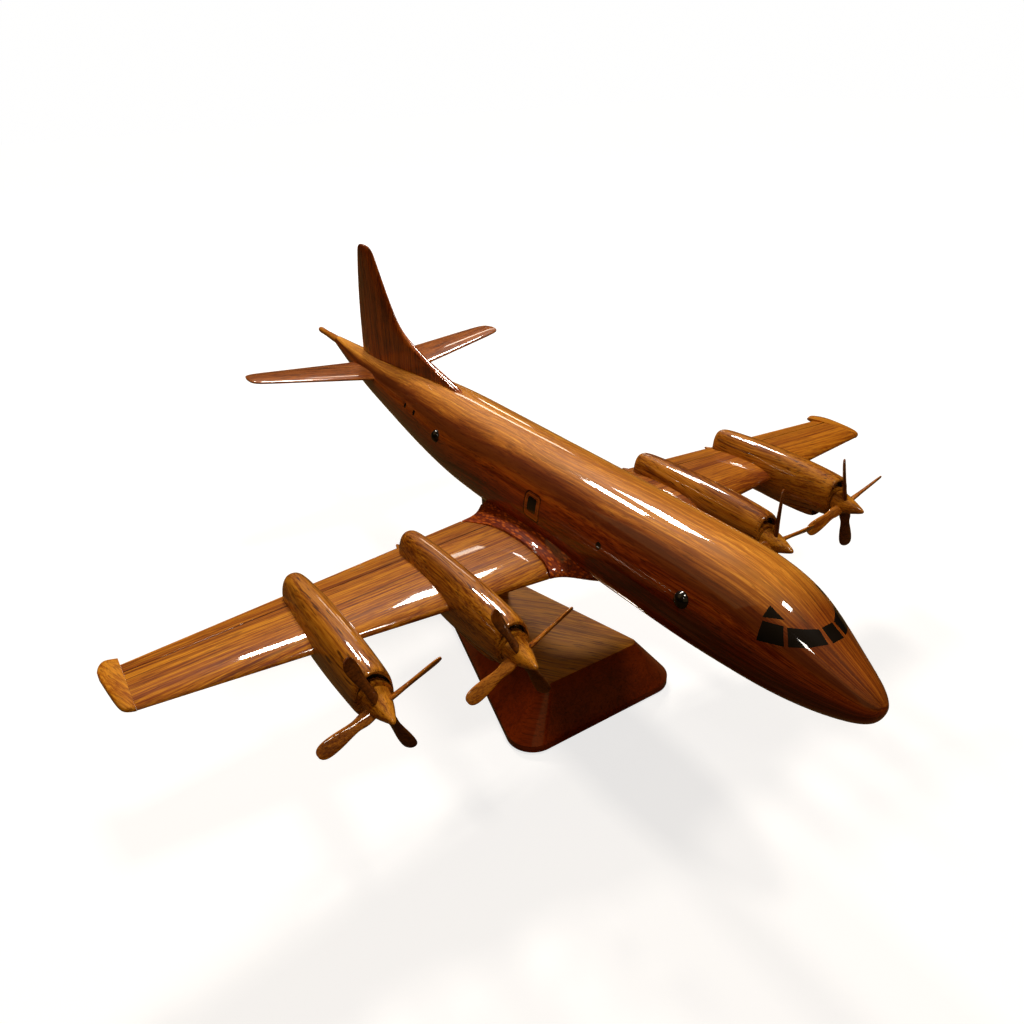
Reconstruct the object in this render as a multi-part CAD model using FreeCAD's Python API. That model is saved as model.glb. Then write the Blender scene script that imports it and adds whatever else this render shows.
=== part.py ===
import FreeCAD, Part
import math
import os
from FreeCAD import Vector

# Desk model of a four-engined propeller aircraft on a wooden stand, in millimetres.
# Nose towards -Y, port side +X, up +Z; z = 0 is the floor under the felt pad.
# Aircraft sizes use stations: x from the centre plane, y behind the nose tip and z about
# the fuselage centre line. point() turns a station into a place in the frame.

# ---- overall dimensions ----
NOSE_Y = -215.0          # y of the nose tip in the frame
AXIS_Z = 120.0           # height of the fuselage centre line above the floor
LENGTH = 495.0           # nose tip to end of the tail boom
GLUE = 0.02              # clearance between glued pieces

ORIGIN = Vector(0, 0, 0)
UP = Vector(0, 0, 1)
AFT = Vector(0, 1, 0)

os.makedirs("parts", exist_ok=True)


# ---- shared helpers ----
def floor_point(x, y, z):
    """Point at a station, with its height measured from the floor."""
    return Vector(x, y + NOSE_Y, z)


def point(x, y, z):
    """Point at a station, with its height measured from the fuselage centre line."""
    return floor_point(x, y, z + AXIS_Z)


def signed_power(value, exponent):
    return math.copysign(abs(value) ** exponent, value)


def turn_angles(count, start=0):
    """Evenly spaced angles of one full turn, beginning at step number start."""
    return [2 * math.pi * (i + start) / count for i in range(count)]


def ring(points):
    """Poles of a closed cubic section that passes close to the given points."""
    count = len(points)
    poles = list(points)
    for _ in range(2):
        curve = [(poles[i - 1] + poles[i] * 4 + poles[(i + 1) % count]) * (1 / 6)
                 for i in range(count)]
        poles = [poles[i] + (points[i] - curve[i]) * 0.8 for i in range(count)]
    return poles


def oval_ring(x, y, z, half_width, half_height, count=20, start=0):
    """Elliptical section across the Y axis."""
    return ring([point(x + half_width * math.cos(a), y, z + half_height * math.sin(a))
                 for a in turn_angles(count, start)])


def loft(rings, ruled=False):
    """Solid skinned over rings with equal numbers of poles, closed by flat ends."""
    degree = 1 if ruled else 3
    spans = len(rings) - degree
    count = len(rings[0])
    along_mults = [degree + 1] + [1] * (spans - 1) + [degree + 1]
    along_knots = [float(i) for i in range(spans + 1)]
    around_mults = [1] * (count + 1)
    around_knots = [float(i) for i in range(count + 1)]
    surface = Part.BSplineSurface()
    surface.buildFromPolesMultsKnots(rings, along_mults, around_mults, along_knots, around_knots,
                                     False, True, degree, 3)
    faces = [surface.toShape()]
    for knot in (along_knots[0], along_knots[-1]):
        faces.append(Part.Face(Part.Wire([surface.uIso(knot).toShape()])))
    shell = Part.makeShell(faces)
    shell.sewShape()
    solid = Part.Solid(shell)
    if not solid.isValid():
        solid.fix(1e-4, 1e-4, 1e-3)
    if solid.Volume < 0:
        solid.reverse()
    return solid


def clean(shape):
    """The solids of a shape, without slivers, as one solid or a compound."""
    solids = [s for s in shape.Solids if s.Volume > 0.05]
    if not solids:
        raise RuntimeError("empty shape")
    return solids[0] if len(solids) == 1 else Part.makeCompound(solids)


def cut(shape, *cutters):
    for cutter in cutters:
        shape = shape.cut(cutter)
    return clean(shape)


def largest(shape):
    return max(shape.Solids, key=lambda s: s.Volume)


def mirror(shape):
    """Mirror image across the centre plane."""
    return shape.mirror(ORIGIN, Vector(1, 0, 0))


def prism(points, vector):
    return Part.Face(Part.makePolygon(list(points) + [points[0]])).extrude(vector)


def ellipse_prism(centre, major, minor, vector):
    """Elliptical bar; major and minor are the half axes as vectors."""
    ellipse = Part.Ellipse(centre + major, centre + minor, centre)
    return Part.Face(Part.Wire([ellipse.toShape()])).extrude(vector)


def rod(start, end, radius):
    axis = end - start
    return Part.makeCylinder(radius, axis.Length, start, axis)


def dowel(start, end, radius, slack):
    """A dowel and its hole, which runs on by slack at both ends."""
    extra = (end - start).normalize() * slack
    return rod(start, end, radius), rod(start - extra, end + extra, radius + GLUE)


def spline(points):
    curve = Part.BSplineCurve()
    curve.interpolate(points)
    return curve.toShape()


def revolve(edges):
    """Solid turned about the Z axis from a closed half profile."""
    return Part.Face(Part.Wire(edges)).revolve(ORIGIN, UP, 360)


def rounded_wire(corners, radii):
    """Closed flat outline through the corners, each rounded with its own radius."""
    count = len(corners)
    arcs = []
    for i, (corner, radius) in enumerate(zip(corners, radii)):
        back = (corners[i - 1] - corner).normalize()
        ahead = (corners[(i + 1) % count] - corner).normalize()
        half_angle = math.acos(back.dot(ahead)) / 2
        reach = radius / math.tan(half_angle)
        inward = (back + ahead).normalize()
        middle = corner + inward * (radius / math.sin(half_angle) - radius)
        arcs.append((corner + back * reach, middle, corner + ahead * reach))
    edges = []
    for i, arc in enumerate(arcs):
        edges.append(Part.Arc(*arc).toShape())
        edges.append(Part.makeLine(arc[2], arcs[(i + 1) % count][0]))
    return Part.Wire(edges)


SCORE_WIDTH, SCORE_DEPTH = 0.5, 0.35


def score(start, end, outward, above):
    """Thin cutter along a line on a surface, standing up from SCORE_DEPTH below it."""
    outward = outward.normalize()
    side = (end - start).cross(outward).normalize() * (SCORE_WIDTH / 2)
    start, end = start - outward * SCORE_DEPTH, end - outward * SCORE_DEPTH
    return prism([start - side, start + side, end + side, end - side], outward * above)


def save(name, shape):
    clean(shape).exportStep("parts/%s.step" % name)


def save_pair(name, port_shape):
    """Write a port piece and its mirror image on the starboard side."""
    save(name + "_port", port_shape)
    save(name + "_starboard", mirror(port_shape))


# ---- fuselage body ----
# station, half width, top, bottom
FUSELAGE = [
    (0.12, 1.12, -5.53, -8.15), (0.70, 2.71, -4.74, -10.87), (1.80, 4.36, -3.72, -13.00),
    (3.50, 6.12, -2.20, -14.61), (6.00, 7.89, -0.33, -16.09), (9.50, 9.62, 1.87, -17.51),
    (14.00, 11.59, 4.55, -18.94), (19.00, 13.61, 7.48, -20.19), (25.00, 16.00, 11.12, -21.25),
    (32.00, 18.53, 15.11, -22.07), (40.00, 20.98, 19.04, -22.55), (50.00, 22.76, 22.17, -22.99),
    (62.00, 23.76, 24.02, -23.66), (76.00, 24.45, 24.58, -24.35), (100.00, 24.66, 24.66, -24.66),
    (140.00, 24.66, 24.66, -24.66), (180.00, 24.66, 24.66, -24.66),
    (220.00, 24.66, 24.66, -24.66), (250.00, 24.50, 24.75, -24.30),
    (268.00, 23.90, 24.95, -23.30), (285.00, 22.91, 24.95, -21.64),
    (303.00, 21.51, 24.35, -19.34), (320.00, 19.92, 23.30, -16.84),
    (338.00, 17.97, 21.95, -14.14), (355.00, 16.04, 20.57, -11.46),
    (373.00, 14.15, 19.38, -8.61), (390.00, 12.30, 18.47, -5.67), (408.00, 10.02, 17.72, -1.97),
    (425.00, 7.74, 17.21, 1.92), (442.00, 5.43, 16.88, 6.08), (458.00, 3.20, 16.70, 10.30),
]
PANE_T = 0.8                         # depth of the let-in panes
CORE_FROM, CORE_TO = 9, 430          # the core takes the stations between these


def fuselage_ring(station, inset=0.0):
    y, half_width, top, bottom = station
    # starting 8 of 40 steps back puts the closing line low down, away from every opening
    return oval_ring(0, y, (top + bottom) / 2, half_width - inset, (top - bottom) / 2 - inset,
                     40, -8)


body = loft([fuselage_ring(s) for s in FUSELAGE])
# the body offset inwards by the pane depth; it backs every let-in piece
core = loft([fuselage_ring(s, PANE_T) for s in FUSELAGE if CORE_FROM < s[0] < CORE_TO])


def skin_part(cutter):
    """The layer of the body inside a cutter, down to the core."""
    return clean(body.common(cutter).cut(core))


def side_point(y, z):
    """Point on the port side of the body and the outward normal there."""
    low, high = next(pair for pair in zip(FUSELAGE, FUSELAGE[1:])
                     if pair[0][0] <= y <= pair[1][0])
    share = (y - low[0]) / (high[0] - low[0])
    half_width, top, bottom = [low[i] + share * (high[i] - low[i]) for i in (1, 2, 3)]
    middle, half_height = (top + bottom) / 2, (top - bottom) / 2
    x = half_width * math.sqrt(1 - ((z - middle) / half_height) ** 2)
    normal = Vector(x / half_width ** 2, 0, (z - middle) / half_height ** 2).normalize()
    return point(x, y, z), normal


# ---- cockpit panes ----
PANE_BACK, PANE_OUT = 4.0, 9.0       # reach of a pane prism behind and in front of its corners
# corner points and outward direction
CENTRE_PANE = (
    [(-2.75, 27.3, 12.4), (2.75, 27.3, 12.4), (2.85, 22.0, 8.9), (-2.85, 22.0, 8.9)],
    (0, -0.6, 0.8))
SIDE_PANES = {
    "cockpit_pane_front": (
        [(3.9, 27.5, 12.1), (8.3, 30.2, 12.4), (12.0, 34.4, 12.2),
         (14.6, 30.9, 7.0), (10.5, 26.1, 7.8), (4.5, 22.5, 8.9)],
        (0.55, -0.5, 0.62)),
    "cockpit_pane_side": (
        [(12.7, 35.5, 12.4), (16.3, 41.9, 12.6), (19.5, 40.7, 6.2), (15.5, 32.0, 6.9)],
        (0.83, -0.25, 0.5)),
    "cockpit_pane_upper": (
        [(11.4, 36.4, 14.0), (11.9, 42.9, 16.9), (15.6, 42.6, 13.5)],
        (0.6, -0.25, 0.75)),
}


def make_pane(corners, direction):
    outward = Vector(*direction).normalize()
    points = [point(*corner) - outward * PANE_BACK for corner in corners]
    # flatten the back face so that it can be extruded
    centre = sum(points, Vector(0, 0, 0)) * (1.0 / len(points))
    points = [p - outward * (p - centre).dot(outward) for p in points]
    return skin_part(prism(points, outward * (PANE_BACK + PANE_OUT)))


def make_cockpit_panes():
    """Write the panes and return them all, to be cut from the hull."""
    panes = [make_pane(*CENTRE_PANE)]
    save("cockpit_pane_centre", panes[0])
    for name, outline in SIDE_PANES.items():
        pane = make_pane(*outline)
        save_pair(name, pane)
        panes += [pane, mirror(pane)]
    return panes


# ---- escape hatch over the wing: an inlaid rounded panel with a pane ----
# front y, rear y, bottom z, top z, corner radius
HATCH_OPENING = (167.0, 179.4, -2.4, 10.6, 2.6)
HATCH_PANEL = (167.45, 178.95, -1.95, 10.15, 2.2)
HATCH_PANE = (169.8, 176.6, 1.4, 8.6, 1.2)
HATCH_X, HATCH_REACH = 15, 20        # where the hatch cutters start and how far they run


def hatch_block(y0, y1, z0, z1, radius):
    corners = [point(HATCH_X, y, z) for y, z in ((y0, z0), (y1, z0), (y1, z1), (y0, z1))]
    return Part.Face(rounded_wire(corners, [radius] * 4)).extrude(Vector(HATCH_REACH, 0, 0))


def make_hatch():
    """Write the hatch pieces and return the recess on both sides."""
    pane_block = hatch_block(*HATCH_PANE)
    recess = skin_part(hatch_block(*HATCH_OPENING))
    save_pair("hatch_panel", cut(skin_part(hatch_block(*HATCH_PANEL)), pane_block))
    save_pair("hatch_pane", skin_part(pane_block))
    return [recess, mirror(recess)]


# ---- bubble windows and portholes ----
BEAD_R, BEAD_PROUD, BEAD_DEEP = 3.5, 2.5, 3.2    # round-headed beads in the body sides
BEADS = [(74.0, 6.4), (268.6, 7.6)]              # y, z
PORTHOLES = [(123.7, 6.4, 1.75), (300.3, 10.8, 1.65), (313.6, 11.0, 1.5)]    # y, z, radius


def make_bead(y, z):
    """A bead, and equal cutters for its hole with their seams at different angles."""
    centre, normal = side_point(y, z)
    dome_r = (BEAD_R * BEAD_R + BEAD_PROUD * BEAD_PROUD) / (2 * BEAD_PROUD)
    half_angle = math.asin(BEAD_R / dome_r) / 2
    rim, crown = Vector(BEAD_R, 0, 0), Vector(0, 0, BEAD_PROUD)
    dome_middle = Vector(dome_r * math.sin(half_angle), 0,
                         dome_r * math.cos(half_angle) - (dome_r - BEAD_PROUD))
    foot, foot_rim = Vector(0, 0, -BEAD_DEEP), Vector(BEAD_R, 0, -BEAD_DEEP)
    bead = revolve([
        Part.Arc(rim, dome_middle, crown).toShape(), Part.makeLine(crown, foot),
        Part.makeLine(foot, foot_rim), Part.makeLine(foot_rim, rim)])
    turn = FreeCAD.Rotation(UP, normal)
    bead.Placement = FreeCAD.Placement(centre, turn)
    cutters = []
    for angle in (90, 180, 200, 0, 25):
        cutter = Part.makeCylinder(BEAD_R + GLUE, BEAD_DEEP + GLUE + 6,
                                   Vector(0, 0, -BEAD_DEEP - GLUE))
        spin = turn.multiply(FreeCAD.Rotation(UP, angle))
        cutter.Placement = FreeCAD.Placement(centre, spin)
        cutters.append(cutter)
    return bead, cutters


def bore(shape, cutters, bead):
    """Cut with the first of the equal cutters that really leaves room for the bead."""
    least = 0.5 * math.pi * BEAD_R ** 2 * BEAD_DEEP
    for cutter in cutters:
        bored = clean(shape.cut(cutter))
        if (bored.isValid() and bored.common(bead).Volume < 0.02
                and shape.Volume - bored.Volume > least):
            return bored
    raise RuntimeError("bead hole not cut")


def make_porthole(y, z, radius):
    centre, normal = side_point(y, z)
    return clean(rod(centre - normal * 4, centre + normal * 4, radius).common(body).cut(core))


def make_side_windows():
    """Write the side windows; return the beads with their cutters, and the portholes."""
    beads = [make_bead(*place) for place in BEADS]
    portholes = [make_porthole(*place) for place in PORTHOLES]
    portholes += [mirror(p) for p in portholes]
    save("bubble_windows_port", Part.makeCompound([bead for bead, _ in beads]))
    save("bubble_windows_starboard", Part.makeCompound([mirror(bead) for bead, _ in beads]))
    save("portholes", Part.makeCompound(portholes))
    return beads, portholes


# ---- aerofoil sections ----
FOIL_STEPS = 16          # points along each face of a section
FOIL_PEAK = 0.3849       # largest value of sqrt(s) * (1 - s), reached at s = 1/3
FOIL_EDGE_T = 0.35       # thickness of the trailing edge


def foil_height(s, thickness, share):
    """Height over the chord line at fraction s of the chord; share is this face's part."""
    return share * thickness * math.sqrt(s) * (1 - s) / FOIL_PEAK + FOIL_EDGE_T / 2 * s


def foil_ring(x, z, front, back, thickness, upper):
    """Section at x, trailing edge first; upper is the share of thickness above the chord."""
    points = []
    for i in range(FOIL_STEPS + 1):
        s = 0.5 * (1 + math.cos(math.pi * i / FOIL_STEPS))
        points.append(point(x, front + (back - front) * s,
                            z + foil_height(s, thickness, upper)))
    for i in range(1, FOIL_STEPS):
        s = 0.5 * (1 - math.cos(math.pi * i / FOIL_STEPS))
        points.append(point(x, front + (back - front) * s,
                            z - foil_height(s, thickness, 1 - upper)))
    return ring(points)


# ---- tail: stabilisers, fin, boom and their dowels ----
STAB_X0, STAB_HALF = 12.0, 89.2      # x where the taper is measured from, x of the tip
STAB_Z0, STAB_Z1 = 11.0, 22.5        # heights at those two places
# x, leading edge, trailing edge, thickness of the rounded stabiliser tip
STAB_TIP = [
    (85.6, 377.2, 396.4, 2.6), (87.6, 378.4, 394.8, 2.2),
    (88.7, 380.6, 392.2, 1.6), (89.2, 383.5, 389.0, 0.8),
]
# height, leading edge, trailing edge, thickness
FIN = [
    (12.0, 262.0, 412.5, 5.2), (20.0, 268.0, 411.7, 5.1), (24.6, 273.0, 411.3, 5.0),
    (28.5, 291.0, 411.0, 4.9), (33.0, 314.0, 410.6, 4.8), (39.4, 336.7, 410.0, 4.6),
    (45.0, 349.4, 409.4, 4.5), (54.0, 358.0, 408.4, 4.3), (66.6, 366.7, 406.4, 4.0),
    (78.0, 373.8, 403.9, 3.6), (85.0, 378.0, 402.1, 3.3), (88.0, 380.6, 400.7, 2.8),
    (89.4, 383.6, 398.6, 2.1), (89.9, 387.5, 396.0, 1.1),
]
FIN_DOWELS = [(362, 7), (394, 9)]    # y, bottom z
FIN_DOWEL_TOP, FIN_DOWEL_R = 33, 1.1
STAB_DOWEL_Y, STAB_DOWEL_Z, STAB_DOWEL_HALF, STAB_DOWEL_R = 388, 11.35, 21, 0.95
TAIL_SLACK = 0.2
BOOM_Y = FUSELAGE[-1][0]
BOOM_Z0, BOOM_Z1 = 13.5, 14.4        # centre height at the front and rear of the boom
BOOM_R0, BOOM_R1 = 2.75, 1.9
BOOM_SPIGOT_R = 1.5


def make_stabiliser():
    """The whole port stabiliser, running into the body."""
    def share(x):
        return (x - STAB_X0) / (STAB_HALF - STAB_X0)

    rows = [(x, 368.5 + 8.2 * share(x), 411.5 - 14.5 * share(x), 4.2 - 1.5 * share(x))
            for x in (2, 12, 30, 50, 70, 82)]
    return loft([foil_ring(x, STAB_Z0 + (STAB_Z1 - STAB_Z0) * share(x), *row, 0.5)
                 for x, *row in rows + STAB_TIP])


def fin_ring(z, front, back, thickness):
    """Slab-sided fin section with a rounded front and a thin trailing edge."""
    half, chord = thickness / 2, back - front
    taper = min(60, chord)
    shoulder = back - 0.45 * taper
    profile = [
        (back, 0.30), (back - 0.18 * taper, 0.62 * half), (shoulder, half),
        (front + 0.55 * (shoulder - front), half * 0.97),
        (front + min(9.0, 0.3 * chord), half * 0.86),
        (front + min(3.4, 0.12 * chord), half * 0.62), (front + 0.9, half * 0.34),
    ]
    return ring([point(x, y, z) for y, x in profile] + [point(0, front, z)]
                + [point(-x, y, z) for y, x in reversed(profile)])


def make_boom():
    """Write the tail boom and return the hole for its spigot."""
    axis = point(0, LENGTH, BOOM_Z1) - point(0, BOOM_Y, BOOM_Z0)
    length = axis.Length
    start = Vector(0, 0, 0.09)       # just clear of the flat end of the body
    outline = [Vector(radius, 0, z) for radius, z in (
        (BOOM_R0, 0.09), (BOOM_R0 - 0.05, 6), (BOOM_R1 + 0.25, length - 8),
        (BOOM_R1, length - 2.2), (1.2, length - 0.5), (0, length))]
    boom = revolve([Part.makeLine(start, outline[0]), spline(outline),
                    Part.makeLine(outline[-1], start)])
    boom = boom.fuse(Part.makeCylinder(BOOM_SPIGOT_R, 10.5, Vector(0, 0, -10)))
    boom = boom.removeSplitter()
    hole = Part.makeCylinder(BOOM_SPIGOT_R + GLUE, 10.7, Vector(0, 0, -10.2))
    for shape in (boom, hole):
        shape.Placement = FreeCAD.Placement(point(0, BOOM_Y, BOOM_Z0),
                                            FreeCAD.Rotation(UP, axis))
    save("tail_boom", boom)
    return hole


def make_tail():
    """Write the tail pieces and return the holes they need in the hull."""
    boom_hole = make_boom()
    stab_dowel, stab_hole = dowel(
        point(-STAB_DOWEL_HALF, STAB_DOWEL_Y, STAB_DOWEL_Z),
        point(STAB_DOWEL_HALF, STAB_DOWEL_Y, STAB_DOWEL_Z), STAB_DOWEL_R, TAIL_SLACK)
    fin_dowels, fin_holes = zip(*[
        dowel(point(0, y, z), point(0, y, FIN_DOWEL_TOP), FIN_DOWEL_R, TAIL_SLACK)
        for y, z in FIN_DOWELS])
    save("tail_dowels", Part.makeCompound([cut(d, stab_hole) for d in fin_dowels]
                                          + [stab_dowel]))

    whole_fin = loft([fin_ring(*row) for row in FIN])
    fin = cut(whole_fin, body, *fin_holes)
    # rudder hinge line scored into both faces
    for side in (1, -1):
        fin = cut(fin, score(point(side * 1.36, 399.6, 24), point(side * 1.02, 392.0, 86.5),
                             Vector(side, 0, 0), 3.0))
    save("fin", fin)
    save_pair("stabiliser", cut(make_stabiliser(), body, stab_hole, whole_fin))
    return [boom_hole, stab_hole, *fin_holes]


# ---- engine places, shared by the wings and the nacelles ----
ENGINE_Z = -19.4
# x, y of the spinner tip, y of the rear end of the nacelle top
ENGINES = {"inboard": (73.5, 98.15, 207.5), "outboard": (132.46, 103.05, 204.5)}

# ---- wings ----
WING_Z = -18.4
WING_IN, WING_OUT = 24.0, 208.2
WING_ROOT_X, WING_T_ROOT, WING_T_TIP = 31, 9.4, 4.2
WING_UPPER = 0.62        # share of the thickness above the chord line
SEAM_GAP = 0.9           # between the root fairing and the wing
# x, y of the seam
SEAM = [
    (36.2, 128.0), (34.0, 141.0), (31.2, 152.0), (30.4, 166.0),
    (30.5, 183.0), (32.0, 199.0), (37.4, 214.8), (41.5, 226.0),
]
WING_DOWELS = [(166.0, -17.9), (192.0, -17.7)]   # y, z
WING_DOWEL_IN, WING_DOWEL_OUT, WING_DOWEL_R, WING_SLACK = 8, 46, 1.5, 0.4
# x, front, back, thickness: the outer edge is raked towards the back
TIP = [
    (WING_OUT + 0.05, 163.7, 200.6, 4.8), (210.6, 164.4, 201.6, 4.8),
    (212.4, 165.6, 202.2, 4.6), (213.6, 168.0, 202.0, 4.3), (214.6, 173.0, 201.2, 3.9),
    (215.6, 180.0, 199.8, 3.4), (216.4, 186.5, 198.0, 2.8), (216.9, 190.5, 195.5, 2.0),
]
TIP_PEG_Y, TIP_PEG_Z, TIP_PEG_R = 176, WING_Z + 0.5, 0.9


def wing_front(x):
    return 143.2 + 0.100 * x


def wing_back(x):
    return 221.7 - 0.123 * x


def wing_thickness(x):
    share = (x - WING_ROOT_X) / (WING_OUT - WING_ROOT_X)
    return WING_T_ROOT + (WING_T_TIP - WING_T_ROOT) * share


def wing_top(x):
    return WING_Z + foil_height(1 / 3, wing_thickness(x), WING_UPPER)


def wing_bottom(x):
    return WING_Z - foil_height(1 / 3, wing_thickness(x), 1 - WING_UPPER)


def wing_point(x, y):
    """Point on the upper surface of the wing."""
    s = (y - wing_front(x)) / (wing_back(x) - wing_front(x))
    return point(x, y, WING_Z + foil_height(s, wing_thickness(x), WING_UPPER))


whole_wing = loft([foil_ring(x, WING_Z, wing_front(x), wing_back(x), wing_thickness(x),
                             WING_UPPER) for x in (WING_IN, WING_OUT)], ruled=True)


def seam_block(offset, x_far):
    """Block between x_far and the seam curve moved outboard by offset."""
    curve = [point(x + offset, y, -45) for x, y in SEAM]
    far_front, far_back = point(x_far, SEAM[0][1], -45), point(x_far, SEAM[-1][1], -45)
    outline = Part.Wire([spline(curve), Part.makeLine(curve[-1], far_back),
                         Part.makeLine(far_back, far_front),
                         Part.makeLine(far_front, curve[0])])
    return Part.Face(outline).extrude(Vector(0, 0, 80))


def make_fairing():
    """Root fairing: the wing section grows into the body side."""
    # x, leading edge, trailing edge, top, bottom
    rows = [
        (12.0, 132.0, 236.0, 2.0, -27.2), (16.0, 134.5, 232.0, -2.0, -25.6),
        (19.5, 138.0, 228.0, -5.6, -24.4), (23.0, 141.6, 224.0, -8.7, -23.4),
        (27.0, 144.6, 220.4, wing_top(27) + 1.0, wing_bottom(27) - 0.25),
        (31.0, wing_front(31), wing_back(31) + 0.3, wing_top(31) + 0.35, wing_bottom(31)),
    ]
    rows += [(x, wing_front(x), wing_back(x), wing_top(x) + 0.3, wing_bottom(x))
             for x in (36.0, 44.0)]
    fairing = loft([foil_ring(x, WING_Z, front, back, top - bottom,
                              (top - WING_Z) / (top - bottom))
                    for x, front, back, top, bottom in rows])
    return largest(clean(fairing.common(seam_block(0, 4)).cut(body)))


def tip_ring(x, front, back, thickness):
    """Flat lens section of the tip cap with blunt edges, thinner towards the back."""
    points = []
    for angle in turn_angles(28):
        y = (front + back) / 2 + (back - front) / 2 * signed_power(math.cos(angle), 0.75)
        s = (y - front) / (back - front)
        z = thickness / 2 * signed_power(math.sin(angle), 0.75) * (1.0 - 0.35 * s)
        points.append(point(x, y, WING_Z + 0.35 + z))
    return ring(points)


def tip_peg(x0, x1, radius):
    return rod(point(x0, TIP_PEG_Y, TIP_PEG_Z), point(x1, TIP_PEG_Y, TIP_PEG_Z), radius)


def make_wing(holes):
    wing = clean(whole_wing.common(seam_block(SEAM_GAP, 260)))
    # flap and aileron line scored along the upper surface, interrupted at the nacelles
    inboard_x, outboard_x = ENGINES["inboard"][0], ENGINES["outboard"][0]
    for x0, y0, x1, y1 in ((40, 199.6, inboard_x - 7, 197.8),
                           (inboard_x + 7, 197.4, outboard_x - 7, 194.2),
                           (outboard_x + 7, 193.6, 207.5, 188.4)):
        wing = cut(wing, score(wing_point(x0, y0), wing_point(x1, y1),
                               Vector(0, 0.09, 1), 2.0))
    # nothing of the wing reaches past its outer end
    wing = cut(wing, Part.makeBox(60, 120, 60, point(WING_OUT, 120, -50)))
    return cut(wing, tip_peg(202.8, 209, TIP_PEG_R + GLUE), *holes)


def make_wings():
    """Write the wing pieces and return the dowel holes."""
    dowels, holes = zip(*[
        dowel(point(side * WING_DOWEL_IN, y, z), point(side * WING_DOWEL_OUT, y, z),
              WING_DOWEL_R, WING_SLACK)
        for y, z in WING_DOWELS for side in (1, -1)])
    save("wing_dowels", Part.makeCompound(list(dowels)))
    save_pair("root_fairing", cut(make_fairing(), *holes))
    save_pair("wing", make_wing(holes))
    tip = loft([tip_ring(*row) for row in TIP])
    save_pair("wing_tip", clean(tip.fuse(tip_peg(203, 211.5, TIP_PEG_R))))
    return holes


# ---- nacelles ----
SPINNER_L, SPINNER_R = 15.6, 6.1
COLLAR_GAP, COLLAR_L, COLLAR_R = 0.5, 14.0, 7.4  # round collar behind the spinner
PIN_R, PIN_CLEAR = 1.30, 0.05
BUSH_R, BUSH_L = 2.4, 11.0
# y behind the collar front, half width, top, bottom about the engine axis
NACELLE_FRONT = [
    (0.4, 7.7, 12.2, -7.9), (1.2, 8.3, 12.9, -8.4), (4.0, 8.5, 13.4, -8.8),
    (10.0, 8.7, 14.0, -9.5), (20.0, 8.95, 14.7, -11.1), (32.0, 9.0, 15.1, -13.0),
    (46.0, 9.0, 15.0, -13.9), (60.0, 8.7, 14.8, -13.3),
]
# the same with y measured from the nacelle end
NACELLE_BACK = [
    (-21, 8.0, 14.5, -10.6), (-11, 7.4, 14.1, -8.0), (-4.4, 6.8, 13.4, -5.6),
    (-1.6, 5.9, 12.4, -4.2), (-0.4, 4.3, 10.6, -3.2), (0, 2.7, 8.6, -2.6),
]
# y behind the collar front, half width, centre height, half height of the chin
CHIN = [
    (11.0, 4.5, -10.3, 2.6), (11.7, 5.1, -10.4, 3.15), (15.0, 5.6, -10.5, 3.5),
    (24.0, 6.1, -10.4, 3.8), (38.0, 6.4, -10.2, 3.9), (56.0, 6.0, -9.2, 4.0),
    (74.0, 5.0, -6.5, 3.8),
]
# y behind the wing's trailing edge, half width, top, bottom of the wedge under it
WEDGE = [
    (-48.0, 7.4, 3.0, -9.6), (-36.0, 7.0, 2.4, -8.8), (-25.0, 6.3, 1.4, -7.7),
    (-8.0, 4.4, -0.2, -5.7), (3.0, 2.4, -1.3, -4.3), (7.6, 1.2, -2.0, -3.6),
    (9.0, 0.45, -2.5, -3.2),
]


def axis_rod(x, y0, y1, radius):
    """Rod along the axis of the engine at x."""
    return rod(point(x, y0, ENGINE_Z), point(x, y1, ENGINE_Z), radius)


def nacelle_ring(x, y, half_width, top, bottom):
    """Slightly squared section with separate upper and lower heights."""
    points = []
    for angle in turn_angles(28):
        across, rise = math.cos(angle), math.sin(angle)
        height = top if rise >= 0 else -bottom
        points.append(point(x + half_width * signed_power(across, 0.86), y,
                            ENGINE_Z + height * signed_power(rise, 0.86)))
    return ring(points)


def make_recesses(x, collar_y):
    """Crescent slot over the collar and oval mouth in the chin."""
    slot = ellipse_prism(point(x, collar_y - 3, ENGINE_Z), Vector(0, 0, 11.3),
                         Vector(7.45, 0, 0), AFT * 9.5)
    slot = cut(slot, Part.makeBox(40, 40, 40, point(x - 20, collar_y - 10, ENGINE_Z - 38.0)),
               axis_rod(x, collar_y - 12, collar_y + 28, COLLAR_R))
    mouth = ellipse_prism(point(x, collar_y + 5, ENGINE_Z - 10.5), Vector(4.15, 0, 0),
                          Vector(0, 0, 2.3), AFT * 13.5)
    return slot, mouth


def recess_plug(recess, x, y):
    """The part of a recess behind y."""
    return clean(recess.common(Part.makeBox(60, 60, 60, point(x - 30, y, ENGINE_Z - 30))))


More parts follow.
